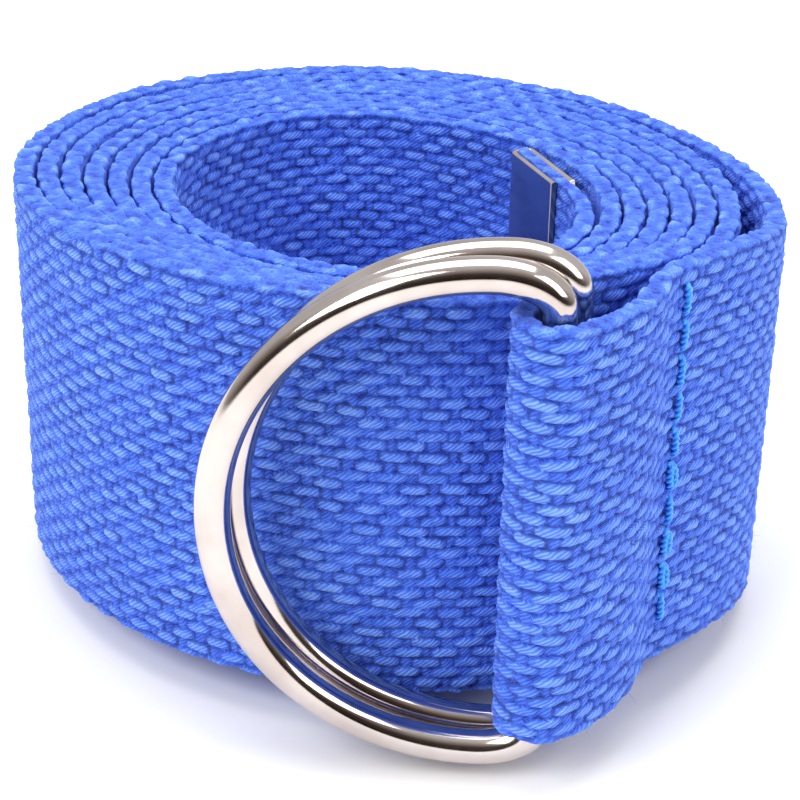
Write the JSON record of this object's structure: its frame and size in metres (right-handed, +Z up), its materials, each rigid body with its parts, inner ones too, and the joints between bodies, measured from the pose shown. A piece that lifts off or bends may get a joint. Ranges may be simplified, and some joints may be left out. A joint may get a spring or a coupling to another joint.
{
  "type": "stretching strap",
  "caption": "Cotton webbing strap wound into an upright coil, with D-rings in a sewn end loop and a crimped metal tip on its free end.",
  "frame": {"origin": "middle of the bottom of the whole strap, as it stands on its lower edge", "axes": "+Z up along the coil's axis, -Y towards the side that the rings face, +X to the right seen from that side"},
  "size_m": [0.0714, 0.078, 0.0484],
  "materials": {
    "webbing": "woven cotton, matte",
    "ring_wire": "polished nickel plate",
    "thread": "spun thread, slight sheen",
    "tip_metal": "polished nickel plate"
  },
  "bodies": {
    "coil": {"webbing_coil": "webbing", "end_tip": "tip_metal"},
    "strap_end": {"webbing_end": "webbing", "needle_thread": "thread", "bobbin_thread": "thread"},
    "front_ring": {"d_ring_front": "ring_wire"},
    "back_ring": {"d_ring_back": "ring_wire"}
  },
  "joints": [
    {"name": "peel", "type": "hinge", "parent": "coil", "child": "strap_end", "pos_m": [-0.00239, 0.03895, 0.019], "axis": [0, 0, 1], "range_deg": [0, 55]},
    {"name": "front_ring_swing", "type": "hinge", "parent": "strap_end", "child": "front_ring", "pos_m": [0.01257, -0.03524, 0.0249], "axis": [0, 0, 1], "range_deg": [0, 185]},
    {"name": "back_ring_swing", "type": "hinge", "parent": "strap_end", "child": "back_ring", "pos_m": [0.01403, -0.0317, 0.0249], "axis": [0, 0, 1], "range_deg": [0, 13]}
  ],
  "couplings": [
    {"joint": "back_ring_swing", "follows": "front_ring_swing", "ratio": 0.07}
  ]
}
